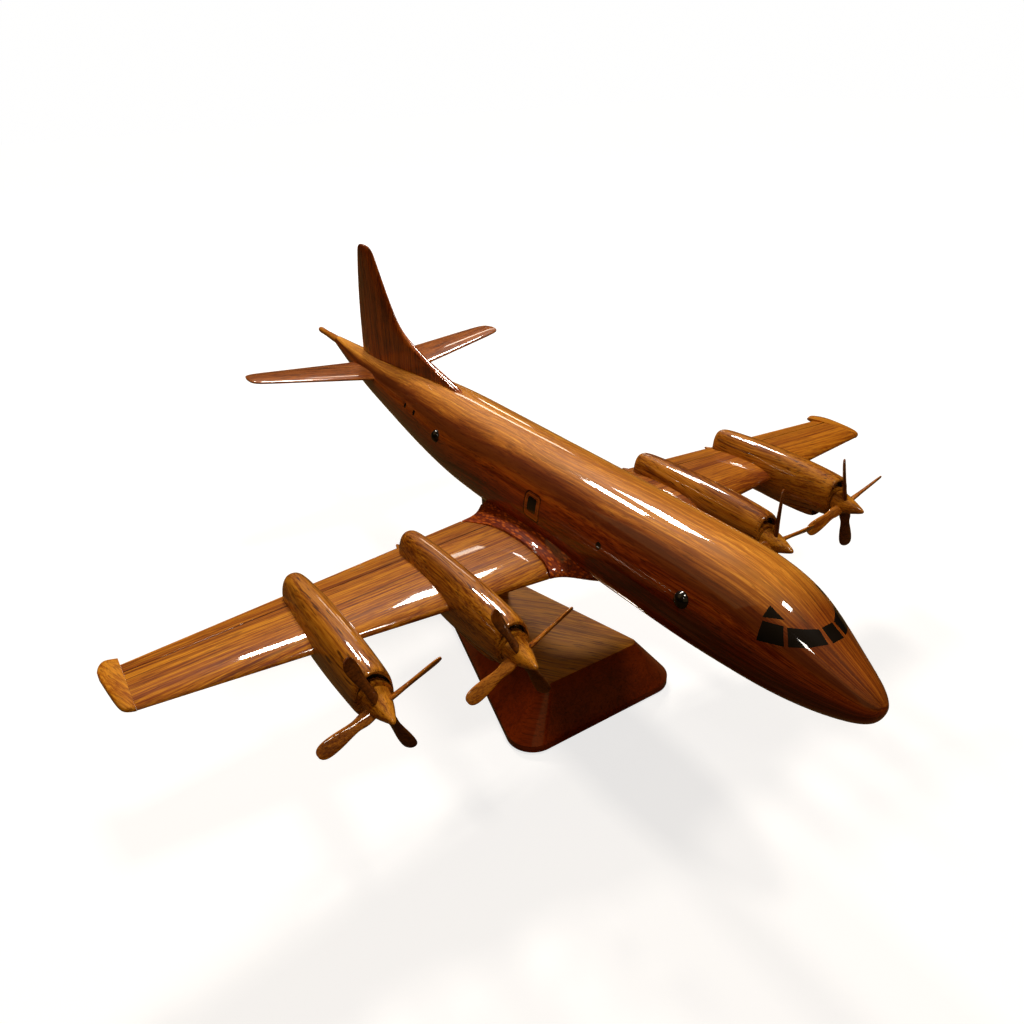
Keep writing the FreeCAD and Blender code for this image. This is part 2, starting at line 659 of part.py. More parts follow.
def make_nacelle(x, tip_y, end_y, slot, mouth):
    collar_y = tip_y + SPINNER_L + COLLAR_GAP
    length = end_y - (tip_y + SPINNER_L)
    rows = NACELLE_FRONT + [(length + y, *sizes) for y, *sizes in NACELLE_BACK]
    main = loft([nacelle_ring(x, collar_y + y, *sizes) for y, *sizes in rows])
    chin = loft([oval_ring(x, collar_y + y, ENGINE_Z + z, half_width, half_height)
                 for y, half_width, z, half_height in CHIN])
    wedge = loft([oval_ring(x, wing_back(x) + y, ENGINE_Z + (top + bottom) / 2,
                            half_width, (top - bottom) / 2)
                  for y, half_width, top, bottom in WEDGE])
    nacelle = main.fuse(chin).fuse(wedge)
    nacelle = nacelle.cut(mouth).cut(slot)
    # the collar goes on after the recesses so that they leave it whole
    nacelle = clean(nacelle.fuse(axis_rod(x, collar_y, collar_y + COLLAR_L, COLLAR_R)))
    bush_end = collar_y + BUSH_L
    return cut(nacelle, axis_rod(x, collar_y - 1, bush_end, BUSH_R),
               axis_rod(x, bush_end - 0.5, bush_end + 3.0, PIN_R + GLUE), whole_wing)


# ---- propellers ----
BLADE_PLANE = 11.3       # behind the spinner tip
BLADE_R = 28.3
TANG_R, TANG_L = 0.85, 5.6           # round tang of a blade in the spinner
BLADE_ANGLE = {
    "starboard_outboard": 21.6, "starboard_inboard": 25.2,
    "port_outboard": 15.6, "port_inboard": -1.9,
}
# radius, distance behind the tip of the spinner
SPINNER = [
    (0, 0.0), (0.6, 0.18), (1.05, 0.75), (2.2, 3.3), (3.7, 7.2), (5.0, 11.3), (5.9, 14.8),
    (SPINNER_R, SPINNER_L),
]
# radius from the axis, chord, thickness, pitch in degrees from the blade plane
BLADE = [
    (3.2, 4.6, 2.2, 50), (5.4, 5.4, 2.2, 50), (8.0, 5.7, 2.1, 49), (9.8, 4.8, 2.0, 47),
    (11.8, 4.3, 1.9, 45), (15.0, 5.0, 1.8, 42), (19.0, 6.1, 1.7, 38), (23.0, 6.6, 1.5, 35),
    (25.8, 6.2, 1.3, 33), (27.4, 4.8, 1.15, 32), (28.1, 3.1, 1.0, 31.5),
    (BLADE_R, 1.7, 0.8, 31),
]


def make_full_spinner(x, tip_y):
    outline = [Vector(radius, 0, z) for radius, z in SPINNER]
    back = Vector(0, 0, SPINNER_L)
    spinner = revolve([spline(outline), Part.makeLine(outline[-1], back),
                       Part.makeLine(back, outline[0])])
    spinner.Placement = FreeCAD.Placement(point(x, tip_y, ENGINE_Z), FreeCAD.Rotation(UP, AFT))
    return spinner


def blade_ring(radius, chord, thickness, pitch):
    """Rounded section of a blade that points along +X."""
    cos_pitch, sin_pitch = math.cos(math.radians(pitch)), math.sin(math.radians(pitch))
    points = []
    for angle in turn_angles(20):
        along = chord / 2 * signed_power(math.cos(angle), 0.9)
        across = thickness / 2 * signed_power(math.sin(angle), 0.8)
        points.append(Vector(radius, -along * sin_pitch + across * cos_pitch,
                             along * cos_pitch + across * sin_pitch))
    return ring(points)


def make_blades(blade, hub, first_angle, spinner):
    """Four blades with tangs, and the sockets for the tangs."""
    blades, sockets = [], []
    for i in range(4):
        placement = FreeCAD.Placement(hub, FreeCAD.Rotation(AFT, -(first_angle + 90 * i)))
        tang = Part.makeCylinder(TANG_R, TANG_L, Vector(3.4, 0, 0), Vector(1, 0, 0))
        socket = Part.makeCylinder(TANG_R + GLUE, TANG_L, Vector(3.3, 0, 0), Vector(1, 0, 0))
        placed = blade.copy()
        for shape in (placed, tang, socket):
            shape.Placement = placement
        # keep only the part of the blade outside the spinner
        placed = largest(cut(placed, spinner))
        blades.append(clean(placed.fuse(tang)))
        sockets.append(socket)
    return blades, sockets


def make_engines():
    """Write the nacelles, propellers and their fittings."""
    blade = loft([blade_ring(*row) for row in BLADE])
    bushes = []
    for kind, (x, tip_y, end_y) in ENGINES.items():
        collar_y = tip_y + SPINNER_L + COLLAR_GAP
        bush_end = collar_y + BUSH_L
        slot, mouth = make_recesses(x, collar_y)
        bush = axis_rod(x, collar_y, bush_end, BUSH_R).cut(
            axis_rod(x, collar_y - 1, bush_end + 1, PIN_R))
        head_y = tip_y + 11.0
        pin = axis_rod(x, head_y + 1.3, bush_end + 2.8, PIN_R).fuse(
            axis_rod(x, head_y, head_y + 1.4, 2.3)).removeSplitter()
        full_spinner = make_full_spinner(x, tip_y)
        # hollow for the pin head, and a seat for the plate that closes it
        spinner = cut(full_spinner, axis_rod(x, tip_y + 10.4, tip_y + 14.0, 2.75),
                      axis_rod(x, tip_y + 13.9, tip_y + SPINNER_L + 1, 4.7))
        plate = axis_rod(x, tip_y + 14.0, tip_y + SPINNER_L, 4.66).cut(
            axis_rod(x, tip_y + 13, tip_y + 18, PIN_R + PIN_CLEAR))
        pieces = {
            "hub_plate_": plate,
            "propeller_pin_": pin,
            "nacelle_": make_nacelle(x, tip_y, end_y, slot, mouth),
            "intake_": Part.makeCompound([recess_plug(slot, x, collar_y + 3.2),
                                          recess_plug(mouth, x, collar_y + 13.6)]),
        }
        for side, sign in (("port", 1), ("starboard", -1)):
            def placed(shape):
                return shape if sign == 1 else mirror(shape)

            name = side + "_" + kind
            hub = point(sign * x, tip_y + BLADE_PLANE, ENGINE_Z)
            blades, sockets = make_blades(blade, hub, BLADE_ANGLE[name], placed(full_spinner))
            save("spinner_" + name, cut(placed(spinner), *sockets))
            save("propeller_blades_" + name, Part.makeCompound(blades))
            for prefix, piece in pieces.items():
                save(prefix + name, placed(piece))
            bushes.append(placed(bush))
    save("nose_bushes", Part.makeCompound(bushes))


# ---- stand: heights here are measured from the floor ----
FELT_T = 1.0
RIM_Z = 5.0                          # top of the upright rim of the base
BASE_H = 31.7
# half width and y of the front and rear edge, then front and rear corner radius
BASE_BOTTOM = ((55.6, 143.2), (17.3, 291.0), (14.2, 10.0))
BASE_TOP = ((31.2, 154.3), (4.8, 267.0), (3.5, 3.6))
FELT = ((55.6 - 3.2, 143.2 + 2.6), (17.3 - 2.4, 291.0 - 2.6), (14.2 - 2.6, 10.0 - 2.6))
POST_Y, POST_HALF_X, POST_HALF_Y = 248.7, 4.6, 10.0    # centre and half axes of the oval post
MORTISE_Z = BASE_H - 9.0
PEG_Y, PEG_R, PEG_CLEAR = (243.0, 254.5), 2.0, 0.05
PEG_Z0, PEG_L, PEG_TIP = AXIS_Z - 40.0, 24.5, 0.6      # PEG_TIP is the length of the tapered end
SCREW_OFFSET, SCREW_Z = 5.2, FELT_T + 0.6              # from the post centre; underside of the head
SCREW_R, SCREW_HEAD_R, SCREW_L = 1.5, 3.4, 43.0


def plan_wire(front, rear, radii, z):
    """Symmetric four-sided plan outline with rounded corners."""
    (front_half, front_y), (rear_half, rear_y) = front, rear
    corners = [floor_point(-front_half, front_y, z), floor_point(front_half, front_y, z),
               floor_point(rear_half, rear_y, z), floor_point(-rear_half, rear_y, z)]
    return rounded_wire(corners, [radii[0], radii[0], radii[1], radii[1]])


def post_prism(grow, z0, z1):
    return ellipse_prism(floor_point(0, POST_Y, z0), Vector(0, POST_HALF_Y + grow, 0),
                         Vector(POST_HALF_X + grow, 0, 0), UP * (z1 - z0))


def make_base():
    rim = Part.Face(plan_wire(*BASE_BOTTOM, FELT_T)).extrude(UP * (RIM_Z - FELT_T))
    slopes = Part.makeLoft([plan_wire(*BASE_BOTTOM, RIM_Z), plan_wire(*BASE_TOP, BASE_H)],
                           True, True)
    base = rim.fuse(slopes).removeSplitter()
    top_edges = [e for e in base.Edges
                 if all(abs(v.Point.z - BASE_H) < 0.01 for v in e.Vertexes)]
    # the small top corners may refuse the rounding; the edge then stays sharp
    try:
        rounded = base.makeFillet(0.9, top_edges)
        base = rounded if rounded.isValid() and rounded.Volume > 0 else base
    except Exception:
        pass
    return base


def make_pegs():
    """Pegs between post and body, their sockets in the post and holes in the hull."""
    pegs, sockets, holes = [], [], []
    for y in PEG_Y:
        foot = floor_point(0, y, PEG_Z0)
        shank_l = PEG_L - PEG_TIP
        pegs.append(Part.makeCylinder(PEG_R, shank_l, foot).fuse(
            Part.makeCone(PEG_R, PEG_R - 0.5, PEG_TIP, foot + UP * shank_l)).removeSplitter())
        sockets.append(Part.makeCylinder(PEG_R + GLUE / 2, 60, foot))
        holes.append(Part.makeCylinder(PEG_R + PEG_CLEAR, PEG_L + 0.8, foot))
    return pegs, sockets, holes


def make_screws():
    """Slotted countersunk screws, their clearance in the base and holes in the post."""
    screws, base_holes, post_holes = [], [], []
    for y in (POST_Y - SCREW_OFFSET, POST_Y + SCREW_OFFSET):
        head = floor_point(0, y, SCREW_Z)
        shank, tip = head + UP * 0.5, head + UP * (SCREW_L + 0.5)
        screw = Part.makeCone(SCREW_HEAD_R, SCREW_R, 2.6, head).fuse(
            Part.makeCylinder(SCREW_R, SCREW_L, shank)).fuse(
            Part.makeCone(SCREW_R, 0.3, 2.0, tip)).removeSplitter()
        screws.append(cut(screw, Part.makeBox(4.6, 0.8, 0.9, head - Vector(2.3, 0.4, 0.0))))
        base_holes.append(Part.makeCone(SCREW_HEAD_R + 0.05, 1.6, 2.66, head - UP * 0.001).fuse(
            Part.makeCylinder(SCREW_HEAD_R + 0.05, 1.0, head - UP)).fuse(
            Part.makeCylinder(1.6, 60, head)))
        post_holes.append(Part.makeCylinder(SCREW_R + GLUE / 2, SCREW_L + 0.1, shank).fuse(
            Part.makeCone(SCREW_R + GLUE / 2, 0.32, 2.1, tip)))
    return screws, base_holes, post_holes


def make_stand():
    """Write the stand pieces and return the peg holes for the hull."""
    base = make_base()
    # the body divides the oval bar; the post is the lowest part
    post = min(post_prism(0, MORTISE_Z, AXIS_Z - 16).cut(body).Solids,
               key=lambda s: s.BoundBox.ZMin)
    pegs, sockets, peg_holes = make_pegs()
    screws, base_holes, post_holes = make_screws()
    post = cut(post, *sockets)
    save("stand_base", cut(base, post_prism(GLUE, MORTISE_Z - 0.05, BASE_H + 5), *base_holes))
    save("stand_post", cut(post, *post_holes))
    save("stand_pegs", Part.makeCompound(pegs))
    save("post_screws", Part.makeCompound(screws))
    save("felt_pad", Part.Face(plan_wire(*FELT, 0.0)).extrude(UP * FELT_T))
    return peg_holes


# ---- build: every section writes its pieces, then the hull takes all the recesses ----
def make_hull(inlays, beads, tail_holes, wing_holes, peg_holes):
    hull = body
    for inlay in inlays:
        hull = cut(hull, inlay)
    for bead, cutters in beads:
        hull = bore(hull, cutters, bead)
        hull = bore(hull, [mirror(c) for c in cutters], mirror(bead))
    for holes in (tail_holes, wing_holes, peg_holes):
        hull = cut(hull, *holes)
    return largest(hull)


panes = make_cockpit_panes()
hatch_recesses = make_hatch()
beads, portholes = make_side_windows()
tail_holes = make_tail()
wing_holes = make_wings()
make_engines()
peg_holes = make_stand()
save("fuselage", make_hull(panes + hatch_recesses + portholes, beads,
                           tail_holes, wing_holes, peg_holes))
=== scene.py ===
"""Lacquered wooden model of a four-engined aircraft on a stand.

The nose points along -Y, port is +X and up is +Z. Lengths are in metres unless a
comment says millimetres.
"""
import math
from fnmatch import fnmatchcase

import bmesh
import bpy
from mathutils import Matrix, Vector


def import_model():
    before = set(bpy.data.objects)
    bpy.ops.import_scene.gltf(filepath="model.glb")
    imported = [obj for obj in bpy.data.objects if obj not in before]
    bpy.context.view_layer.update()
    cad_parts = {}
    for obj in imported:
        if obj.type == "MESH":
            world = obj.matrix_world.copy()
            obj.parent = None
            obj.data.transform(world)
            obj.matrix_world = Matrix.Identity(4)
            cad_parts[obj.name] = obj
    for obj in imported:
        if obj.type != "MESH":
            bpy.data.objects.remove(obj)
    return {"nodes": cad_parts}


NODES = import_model()["nodes"]
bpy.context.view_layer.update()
scene = bpy.context.scene

# ------------------------------------------------------------------ dimensions, millimetres
# Body frame: y runs back from the nose, z is measured from the body axis.
BODY_Y = 215.0    # from the body frame's start to the model's origin, along Y
AXIS_Z = 120.0    # height of the body axis

# Hull stations: distance behind the nose, half width, top, bottom.
HULL_STATIONS = [
    (0.12, 1.12, -5.53, -8.15), (0.70, 2.71, -4.74, -10.87), (1.80, 4.36, -3.72, -13.00),
    (3.50, 6.12, -2.20, -14.61), (6.00, 7.89, -0.33, -16.09), (9.50, 9.62, 1.87, -17.51),
    (14.00, 11.59, 4.55, -18.94), (19.00, 13.61, 7.48, -20.19), (25.00, 16.00, 11.12, -21.25),
    (32.00, 18.53, 15.11, -22.07), (40.00, 20.98, 19.04, -22.55), (50.00, 22.76, 22.17, -22.99),
    (62.00, 23.76, 24.02, -23.66), (76.00, 24.45, 24.58, -24.35), (100.00, 24.66, 24.66, -24.66),
    (140.00, 24.66, 24.66, -24.66), (180.00, 24.66, 24.66, -24.66), (220.00, 24.66, 24.66, -24.66),
    (250.00, 24.50, 24.75, -24.30), (268.00, 23.90, 24.95, -23.30), (285.00, 22.91, 24.95, -21.64),
    (303.00, 21.51, 24.35, -19.34), (320.00, 19.92, 23.30, -16.84), (338.00, 17.97, 21.95, -14.14),
    (355.00, 16.04, 20.57, -11.46), (373.00, 14.15, 19.38, -8.61), (390.00, 12.30, 18.47, -5.67),
    (408.00, 10.02, 17.72, -1.97), (425.00, 7.74, 17.21, 1.92), (442.00, 5.43, 16.88, 6.08),
    (458.00, 3.20, 16.70, 10.30),
]
HULL_LENGTH = HULL_STATIONS[-1][0]
NOSE_Y = (HULL_STATIONS[0][0] - BODY_Y) / 1000    # foremost point of the hull, metres

# Door panel in the hull side, in model coordinates.
HATCH_CENTRE = (-41.80, 124.10)    # y, z
HATCH_HALF = (5.75, 6.05)          # half length, half height
HATCH_CORNER = 2.2

# Wing, straight from root to tip
WING_ROOT_X, WING_TIP_X = 31, 208.2
WING_INNER_X = 24.0    # the board runs on into the body as far as this
WING_Z = -18.4

# Stabiliser
STAB_ROOT_X, STAB_TIP_X = 12.0, 89.2
STAB_STATIONS = (2, 12, 30, 50, 70, 82)
# Rounded end: x, leading edge, trailing edge, thickness.
STAB_END = [
    (85.6, 377.2, 396.4, 2.6), (87.6, 378.4, 394.8, 2.2),
    (88.7, 380.6, 392.2, 1.6), (89.2, 383.5, 389.0, 0.8),
]


# ------------------------------------------------------------------ node trees
class Tree:
    """Small helper for building the nodes of a material or a world."""

    def __init__(self, block, output="ShaderNodeOutputMaterial"):
        block.use_nodes = True
        self.nodes, self.links = block.node_tree.nodes, block.node_tree.links
        self.nodes.clear()
        self.output = self.new(output)

    def put(self, socket, value):
        """Link a socket, or set its value; colours are given as three numbers."""
        if isinstance(value, bpy.types.NodeSocket):
            self.links.new(value, socket)
        else:
            socket.default_value = (*value, 1.0) if socket.type == "RGBA" else value

    def new(self, kind, inputs=None, **settings):
        node = self.nodes.new(kind)
        for key, value in settings.items():
            setattr(node, key, value)
        for key, value in (inputs or {}).items():
            self.put(node.inputs[key], value)
        return node

    def finish(self, node):
        self.put(self.output.inputs["Surface"], node.outputs[0])

    # numbers
    def calc(self, operation, *values):
        return self.new("ShaderNodeMath", dict(enumerate(values)), operation=operation).outputs[0]

    def add(self, first, second):
        return self.calc("ADD", first, second)

    def sub(self, first, second):
        return self.calc("SUBTRACT", first, second)

    def mul(self, first, second):
        return self.calc("MULTIPLY", first, second)

    # vectors
    def split(self, vector):
        return self.new("ShaderNodeSeparateXYZ", {0: vector}).outputs

    def join(self, x, y, z):
        return self.new("ShaderNodeCombineXYZ", {0: x, 1: y, 2: z}).outputs[0]

    def position(self):
        return self.new("ShaderNodeTexCoord").outputs["Object"]

    def mapped(self, vector, scale=(1, 1, 1), shift=(0, 0, 0), turn=(0, 0, 0)):
        inputs = {"Vector": vector, "Scale": scale, "Location": shift, "Rotation": turn}
        return self.new("ShaderNodeMapping", inputs).outputs["Vector"]

    def hull_flow(self, least=0.15):
        """Coordinates that follow the hull's taper: along the body, then across it as if it
        were a plain cylinder. The width and height factors don't fall below least."""
        width_unit, height_unit = 25.0, 50.0    # millimetres stored as 1 in the ramp
        mid_low, mid_range = 15.0, 30.0         # mid-height: millimetres at 0 (below axis), span
        x, y, z = self.split(self.position())
        stops = [
            (back / HULL_LENGTH, (half / width_unit, (top - bottom) / height_unit,
                                  ((top + bottom) / 2 + mid_low) / mid_range))
            for back, half, top, bottom in HULL_STATIONS
        ]
        profile = self.ramp(self.mul(self.add(y, -NOSE_Y), 1000 / HULL_LENGTH), stops)
        width, height, mid = self.new("ShaderNodeSeparateColor", {0: profile}).outputs
        across = self.calc("DIVIDE", x, self.calc("MAXIMUM", width, least))
        mid_z = self.calc("MULTIPLY_ADD", mid, mid_range / 1000, (AXIS_Z - mid_low) / 1000)
        up = self.calc("DIVIDE", self.sub(z, mid_z), self.calc("MAXIMUM", height, least))
        return self.join(y, across, up)

    # patterns and colours
    def noise(self, vector, along, across, detail, rough, shift=(0, 0, 0)):
        """Noise with separate frequencies along X and across it."""
        vector = self.mapped(vector, (along, across, across), shift)
        inputs = {"Vector": vector, "Scale": 1.0, "Detail": detail, "Roughness": rough}
        return self.new("ShaderNodeTexNoise", inputs).outputs["Fac"]

    def speckle(self, frequency, detail, rough):
        return self.noise(self.mapped(self.position()), frequency, frequency, detail, rough)

    def ramp(self, factor, stops):
        """Stops are (position, grey level or colour)."""
        node = self.new("ShaderNodeValToRGB", {"Fac": factor})
        elements = node.color_ramp.elements
        elements.remove(elements[-1])
        for i, (place, tone) in enumerate(stops):
            element = elements.new(place) if i else elements[0]
            element.position = place
            element.color = (*(tone if isinstance(tone, tuple) else (tone,) * 3), 1.0)
        return node.outputs["Color"]

    def mix(self, factor, first, second, mode="MIX"):
        inputs = {0: factor, 6: first, 7: second}
        return self.new("ShaderNodeMix", inputs, data_type="RGBA", blend_type=mode).outputs[2]

    def tint(self, colour, factors):
        return self.mix(1.0, colour, factors, "MULTIPLY")

    def paint(self, colour, mask, amount, tone):
        """Lay tone over colour where mask is 1, by the given amount."""
        return self.mix(self.mul(mask, amount), colour, tone)

    # shaders
    def mix_shaders(self, factor, first, second):
        inputs = {0: factor, 1: first.outputs[0], 2: second.outputs[0]}
        return self.new("ShaderNodeMixShader", inputs)

    def bump(self, height, strength, distance):
        inputs = {"Height": height, "Strength": strength, "Distance": distance}
        return self.new("ShaderNodeBump", inputs).outputs["Normal"]

    def surface(self, colour, rough, coat, coat_rough, height, strength, distance,
                metallic=0.0, specular=0.5, coat_height=None):
        inputs = {
            "Base Color": colour, "Roughness": rough, "Metallic": metallic,
            "Specular IOR Level": specular, "Coat Weight": coat, "Coat Roughness": coat_rough,
            "Normal": self.bump(height, strength, distance),
        }
        if coat_height is not None:
            inputs["Coat Normal"] = self.bump(coat_height, strength=0.02, distance=0.00010)
        self.finish(self.new("ShaderNodeBsdfPrincipled", inputs))


# ------------------------------------------------------------------ wood
# Turns of the coordinates that make the grain run along each axis
ALONG_X, ALONG_Y, ALONG_Z = (0, 0, 0), (0, 0, math.pi / 2), (0, math.pi / 2, 0)


def wood(name, dark, mid, light, streak, *, turn=ALONG_X, seed=0.0, hull=False,
         wide=1.0, line=1.0, fine=1.0, wave=1.0, scale=1.0, veins=0.6, pore=0.5, pore_size=1.0,
         fleck=0.0, fleck_tone=None, coat_rough=(0.025, 0.060), coat_grain=0.0, extra=None):
    """Lacquered wood. Colours are linear.

    turn, seed: direction of the grain and a shift of the pattern; hull: follow the hull instead
    wide, line, fine: strength of the broad, middle and fine grain; wave: bending of the fibres
    scale: frequency of the grain; veins, pore, fleck: strength of these marks
    coat_rough: range of the lacquer's roughness; coat_grain: grain showing in the lacquer
    extra: function of tree, colour, straight and bent coordinates that returns a new colour
    """
    material = bpy.data.materials.new(name)
    tree = Tree(material)
    if hull:
        straight = tree.hull_flow()
    else:
        shift = (seed * 0.731, seed * 0.417, seed * 0.253)
        straight = tree.mapped(tree.position(), shift=shift, turn=turn)

    # slow bending of the fibres
    def bend(value, along, across, shift=(0, 0, 0)):
        sway = tree.noise(straight, along, across, detail=2.0, rough=0.5, shift=shift)
        return tree.add(value, tree.mul(tree.sub(sway, 0.5), 0.030 * wave))

    x, y, z = tree.split(straight)
    bent = tree.join(x, bend(y, 5.0, 13.0), bend(z, 4.0, 11.0, (2.7, 1.1, 0.3)))

    def grain(along, across, detail, rough, shift=(0, 0, 0)):
        return tree.noise(bent, along * scale, across * scale, detail, rough, shift)

    broad = grain(1.8, 55.0, detail=3.0, rough=0.5)
    middle = grain(4.2, 270.0, detail=4.0, rough=0.66, shift=(0.7, 0.1, 0.4))
    thin = grain(17.0, 1050.0, detail=3.0, rough=0.65, shift=(0.2, 0.9, 0.5))
    finest = grain(110.0, 3400.0, detail=2.0, rough=0.6, shift=(0.3, 0.6, 0.8))
    tone = tree.mul(tree.sub(broad, 0.5), wide)
    for layer, weight in ((middle, line), (thin, 1.15 * fine), (finest, 0.60 * fine)):
        tone = tree.add(tone, tree.mul(tree.sub(layer, 0.5), weight))
    brightest = tuple(min(1.0, channel * 1.18) for channel in light)
    colour = tree.ramp(tree.add(tone, 0.5),
                       [(0.22, dark), (0.44, mid), (0.64, light), (0.86, brightest)])

    # thin dark veins along the grain
    vein = grain(1.7, 330.0, detail=3.0, rough=0.62, shift=(3.1, 0.2, 0.9))
    colour = tree.paint(colour, tree.ramp(vein, [(0.57, 0.0), (0.66, 1.0)]), veins, streak)

    # pores: short dark dashes
    dashes = tree.noise(bent, 110.0 / pore_size, 1500.0 / pore_size, detail=1.0, rough=0.5,
                        shift=(0.4, 0.1, 0.7))
    pores = tree.ramp(dashes, [(0.60, 0.0), (0.69, 1.0)])
    colour = tree.paint(colour, pores, pore, tuple(channel * 0.35 for channel in dark))

    if fleck:
        spots = tree.new("ShaderNodeTexVoronoi", {
            "Vector": tree.mapped(straight, (210.0, 760.0, 760.0)),
            "Scale": 1.0, "Randomness": 0.85})
        mask = tree.ramp(spots.outputs["Distance"], [(0.26, 1.0), (0.50, 0.0)])
        colour = tree.paint(colour, mask, fleck, fleck_tone)
    if extra:
        colour = extra(tree, colour, straight, bent)

    # lacquer
    coat_height = tree.noise(straight, 38.0, 60.0, detail=1.0, rough=0.4)
    if coat_grain:
        coat_height = tree.add(coat_height, tree.mul(thin, coat_grain))
    patches = tree.noise(straight, 40.0, 40.0, detail=3.0, rough=0.6)
    tree.surface(
        colour,
        rough=tree.ramp(thin, [(0.3, 0.42), (0.7, 0.55)]),
        coat=1.0, coat_rough=tree.ramp(patches, [(0.35, coat_rough[0]), (0.75, coat_rough[1])]),
        height=tree.sub(tree.mul(thin, 0.5), tree.mul(pores, 0.6)),
        strength=0.2, distance=0.0001, specular=0.12, coat_height=coat_height)
    return material


# ------------------------------------------------------------------ local changes of wood colour
def hatch_ring(tree, start, end):
    """Mask of a line round the door: 1 from start to end, millimetres outside its outline."""
    soft, squeeze = 0.12, 0.1    # soft edge in millimetres; ramp travel per millimetre
    _, y, z = tree.split(tree.position())
    beyond = []
    for value, centre, half in zip((y, z), HATCH_CENTRE, HATCH_HALF):
        offset = tree.calc("MULTIPLY_ADD", value, 1000.0, -centre)
        beyond.append(tree.sub(tree.calc("ABSOLUTE", offset), half - HATCH_CORNER))
    over_y, over_z = [tree.calc("MAXIMUM", value, 0.0) for value in beyond]
    outside = tree.calc("SQRT", tree.add(tree.mul(over_y, over_y), tree.mul(over_z, over_z)))
    inside = tree.calc("MINIMUM", tree.calc("MAXIMUM", *beyond), 0.0)
    distance = tree.sub(tree.add(outside, inside), HATCH_CORNER)
    low, high, edge = 0.5 + start * squeeze, 0.5 + end * squeeze, soft * squeeze
    return tree.ramp(tree.add(tree.mul(distance, squeeze), 0.5),
                     [(low - edge, 0.0), (low, 1.0), (high, 1.0), (high + edge, 0.0)])


def crown(tree, colour, straight, bent):
    """Golden top of the fuselage, part sapwood colour and part painted highlight on the lit top,
    bounded by a dark heart streak;
    painted shade that makes the lower hull a darker red-brown, and a line of painted shade in the
    gap round the door."""
    along, across, up = tree.split(straight)
    level = tree.add(up, tree.mul(across, 0.33))
    wander = tree.noise(bent, 4.0, 34.0, detail=4.0, rough=0.62)
    wander = tree.mul(tree.sub(wander, 0.5), 0.019)
    level = tree.mul(tree.add(level, wander), 20.0)
    # painted shade: the lower hull is tinted darker and redder towards the bottom, which faces
    # away from the lamps
    low = tree.ramp(tree.add(tree.mul(level, 0.5), 0.5),
                    [(0.44, (0.80, 0.42, 0.3)), (0.60, (1.0, 0.95, 0.9))])
    colour = tree.tint(colour, low)
    # the gold stops short of the cockpit
    behind = tree.mul(tree.add(tree.add(along, -NOSE_Y), wander), 10.0)
    behind = tree.ramp(behind, [(0.30, 0.12), (0.47, 1.0)])
    # the gold is partly the sapwood's colour and partly a painted highlight over the lit top of
    # the hull
    top = tree.mul(tree.ramp(level, [(0.23, 0.0), (0.37, 1.0)]), behind)
    gold = tree.mix(0.30, tree.tint(colour, (2.5, 5.0, 11.0)), (0.860, 0.360, 0.040))
    colour = tree.paint(colour, top, 0.92, gold)
    heart = tree.ramp(level, [(0.08, 0.0), (0.155, 1.0), (0.215, 1.0), (0.28, 0.0)])
    colour = tree.paint(colour, heart, 0.80, (0.075, 0.010, 0.0006))
    # painted shade in the gap round the door panel
    return tree.paint(colour, hatch_ring(tree, -0.2, 0.62), 0.92, (0.018, 0.003, 0.0003))


def hatch_rim_highlight(tree, colour, *_):
    """Rounded rim of the door panel, a little paler from a painted highlight along it."""
    # painted highlight along the rounded rim
    return tree.paint(colour, hatch_ring(tree, -0.95, -0.45), 0.55, (0.42, 0.110, 0.008))


def blade_light_and_shade(hub_x, hub_z):
    """Painted light and shade: the upright pair of blades is darkened as if shaded, and the level
    pair is made paler as if lit.
    """
    def tones(tree, colour, *_):
        x, _y, z = tree.split(tree.position())
        sideways = tree.calc("ABSOLUTE", tree.sub(x, hub_x))
        upright = tree.calc("ABSOLUTE", tree.sub(z, hub_z))
        # painted shade darkens the upright blades; painted light brightens the level ones
        shaded = tree.tint(colour, (0.50, 0.42, 0.35))
        pale = tree.tint(colour, (1.45, 1.60, 1.60))
        return tree.mix(tree.calc("GREATER_THAN", upright, sideways), pale, shaded)
    return tones


def base_shaded_sides(tree, colour, *_):
    """Olive-brown upper face; the sides are darkened to dark red-brown as painted shade."""
    facing = tree.split(tree.new("ShaderNodeNewGeometry").outputs["True Normal"])[2]
    side = tree.ramp(facing, [(0.80, 1.0), (0.97, 0.0)])
    # painted shade: sides that face away from the overhead lamps are darkened to red-brown
    shaded = tree.tint(tree.mix(0.45, colour, (0.30, 0.085, 0.003)), (0.52, 0.17, 0.05))
    return tree.mix(side, colour, shaded)


def wing_painted_shade(tree, colour, *_):
    """Painted shade: darker towards the body, and a dark line of painted shade in the scored hinge
    line.
    """
    line_x, line_y, line_slope = 0.040, -0.0154, -0.0669    # a point on the line, its slope
    x, y, _z = tree.split(tree.position())
    outboard = tree.calc("ABSOLUTE", x)
    # painted shade: darker towards the body, near the fuselage
    root = tree.ramp(tree.mul(outboard, 5.0), [(0.15, 1.0), (0.75, 0.0)])
    colour = tree.mix(root, colour, tree.tint(colour, (0.74, 0.68, 0.5)))
    # painted shade: a dark line in the scored hinge line
    run = tree.mul(tree.sub(tree.calc("ABSOLUTE", x), line_x), line_slope)
    gap = tree.calc("ABSOLUTE", tree.sub(tree.add(y, -line_y), run))
    line = tree.ramp(tree.mul(gap, 1000.0), [(0.26, 1.0), (0.42, 0.0)])
    return tree.paint(colour, line, 0.9, (0.022, 0.003, 0.0003))


